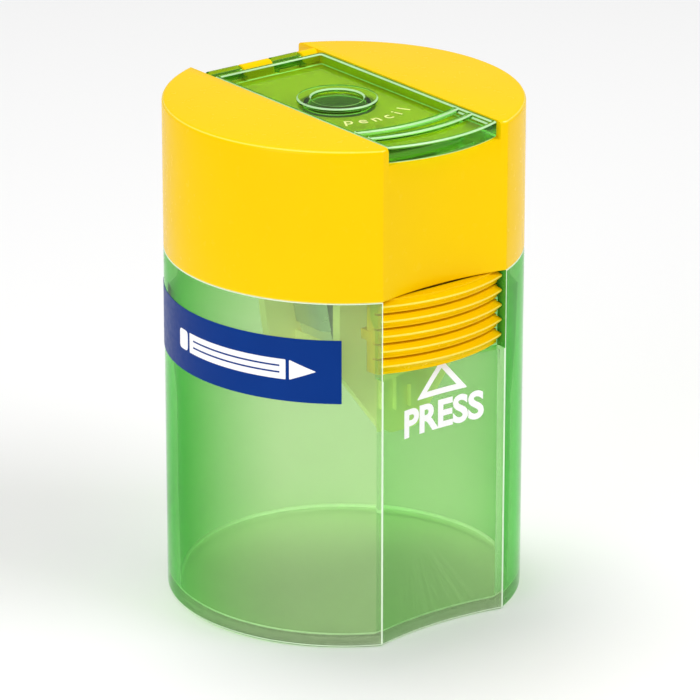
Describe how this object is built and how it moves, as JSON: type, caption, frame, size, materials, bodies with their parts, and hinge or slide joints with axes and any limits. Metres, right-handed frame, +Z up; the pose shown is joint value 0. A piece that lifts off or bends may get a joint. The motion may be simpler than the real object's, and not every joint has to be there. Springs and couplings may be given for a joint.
{
  "type": "pencil sharpener",
  "caption": "Upright pencil sharpener with a clear round collecting tub, a lift-off head with a ribbed press tab, and a hinged clear lid over the pencil hole.",
  "frame": {"origin": "centre of the round resting face at the bottom of the tub", "axes": "+Z up along the tub, the thumb channel with the press tab faces -Y, the lid hinge is at +Y"},
  "size_m": [0.0401, 0.0394, 0.0576],
  "materials": {
    "clear_green": "clear, polished",
    "yellow": "moulded, satin gloss",
    "holder_yellow": "moulded, pale lemon yellow",
    "label_blue": "printed film",
    "clear_lid": "clear, polished",
    "wedge_metal": "machined magnesium alloy",
    "blade_steel": "ground",
    "pin_steel": "drawn wire"
  },
  "bodies": {
    "tub": {"tub": "clear_green", "label": "label_blue"},
    "head": {"head_shell": "yellow", "hinge_pin": "pin_steel", "sharpener_holder": "holder_yellow", "sharpener_body": "wedge_metal", "blade": "blade_steel", "blade_screw": "pin_steel"},
    "lid": {"flip_lid": "clear_lid"},
    "latch": {"press_latch": "yellow"}
  },
  "joints": [
    {"name": "head_lift", "type": "slide", "parent": "tub", "child": "head", "axis": [0, 0, 1], "range_m": [0, 0.035]},
    {"name": "lid_hinge", "type": "hinge", "parent": "head", "child": "lid", "pos_m": [0, 0.0155, 0.05662], "axis": [-1, 0, 0], "range_deg": [0, 115]},
    {"name": "latch_press", "type": "hinge", "parent": "head", "child": "latch", "pos_m": [0, -0.01475, 0.0526], "axis": [1, 0, 0], "range_deg": [0, 5], "stiffness_Nm_per_rad": 0.5}
  ]
}
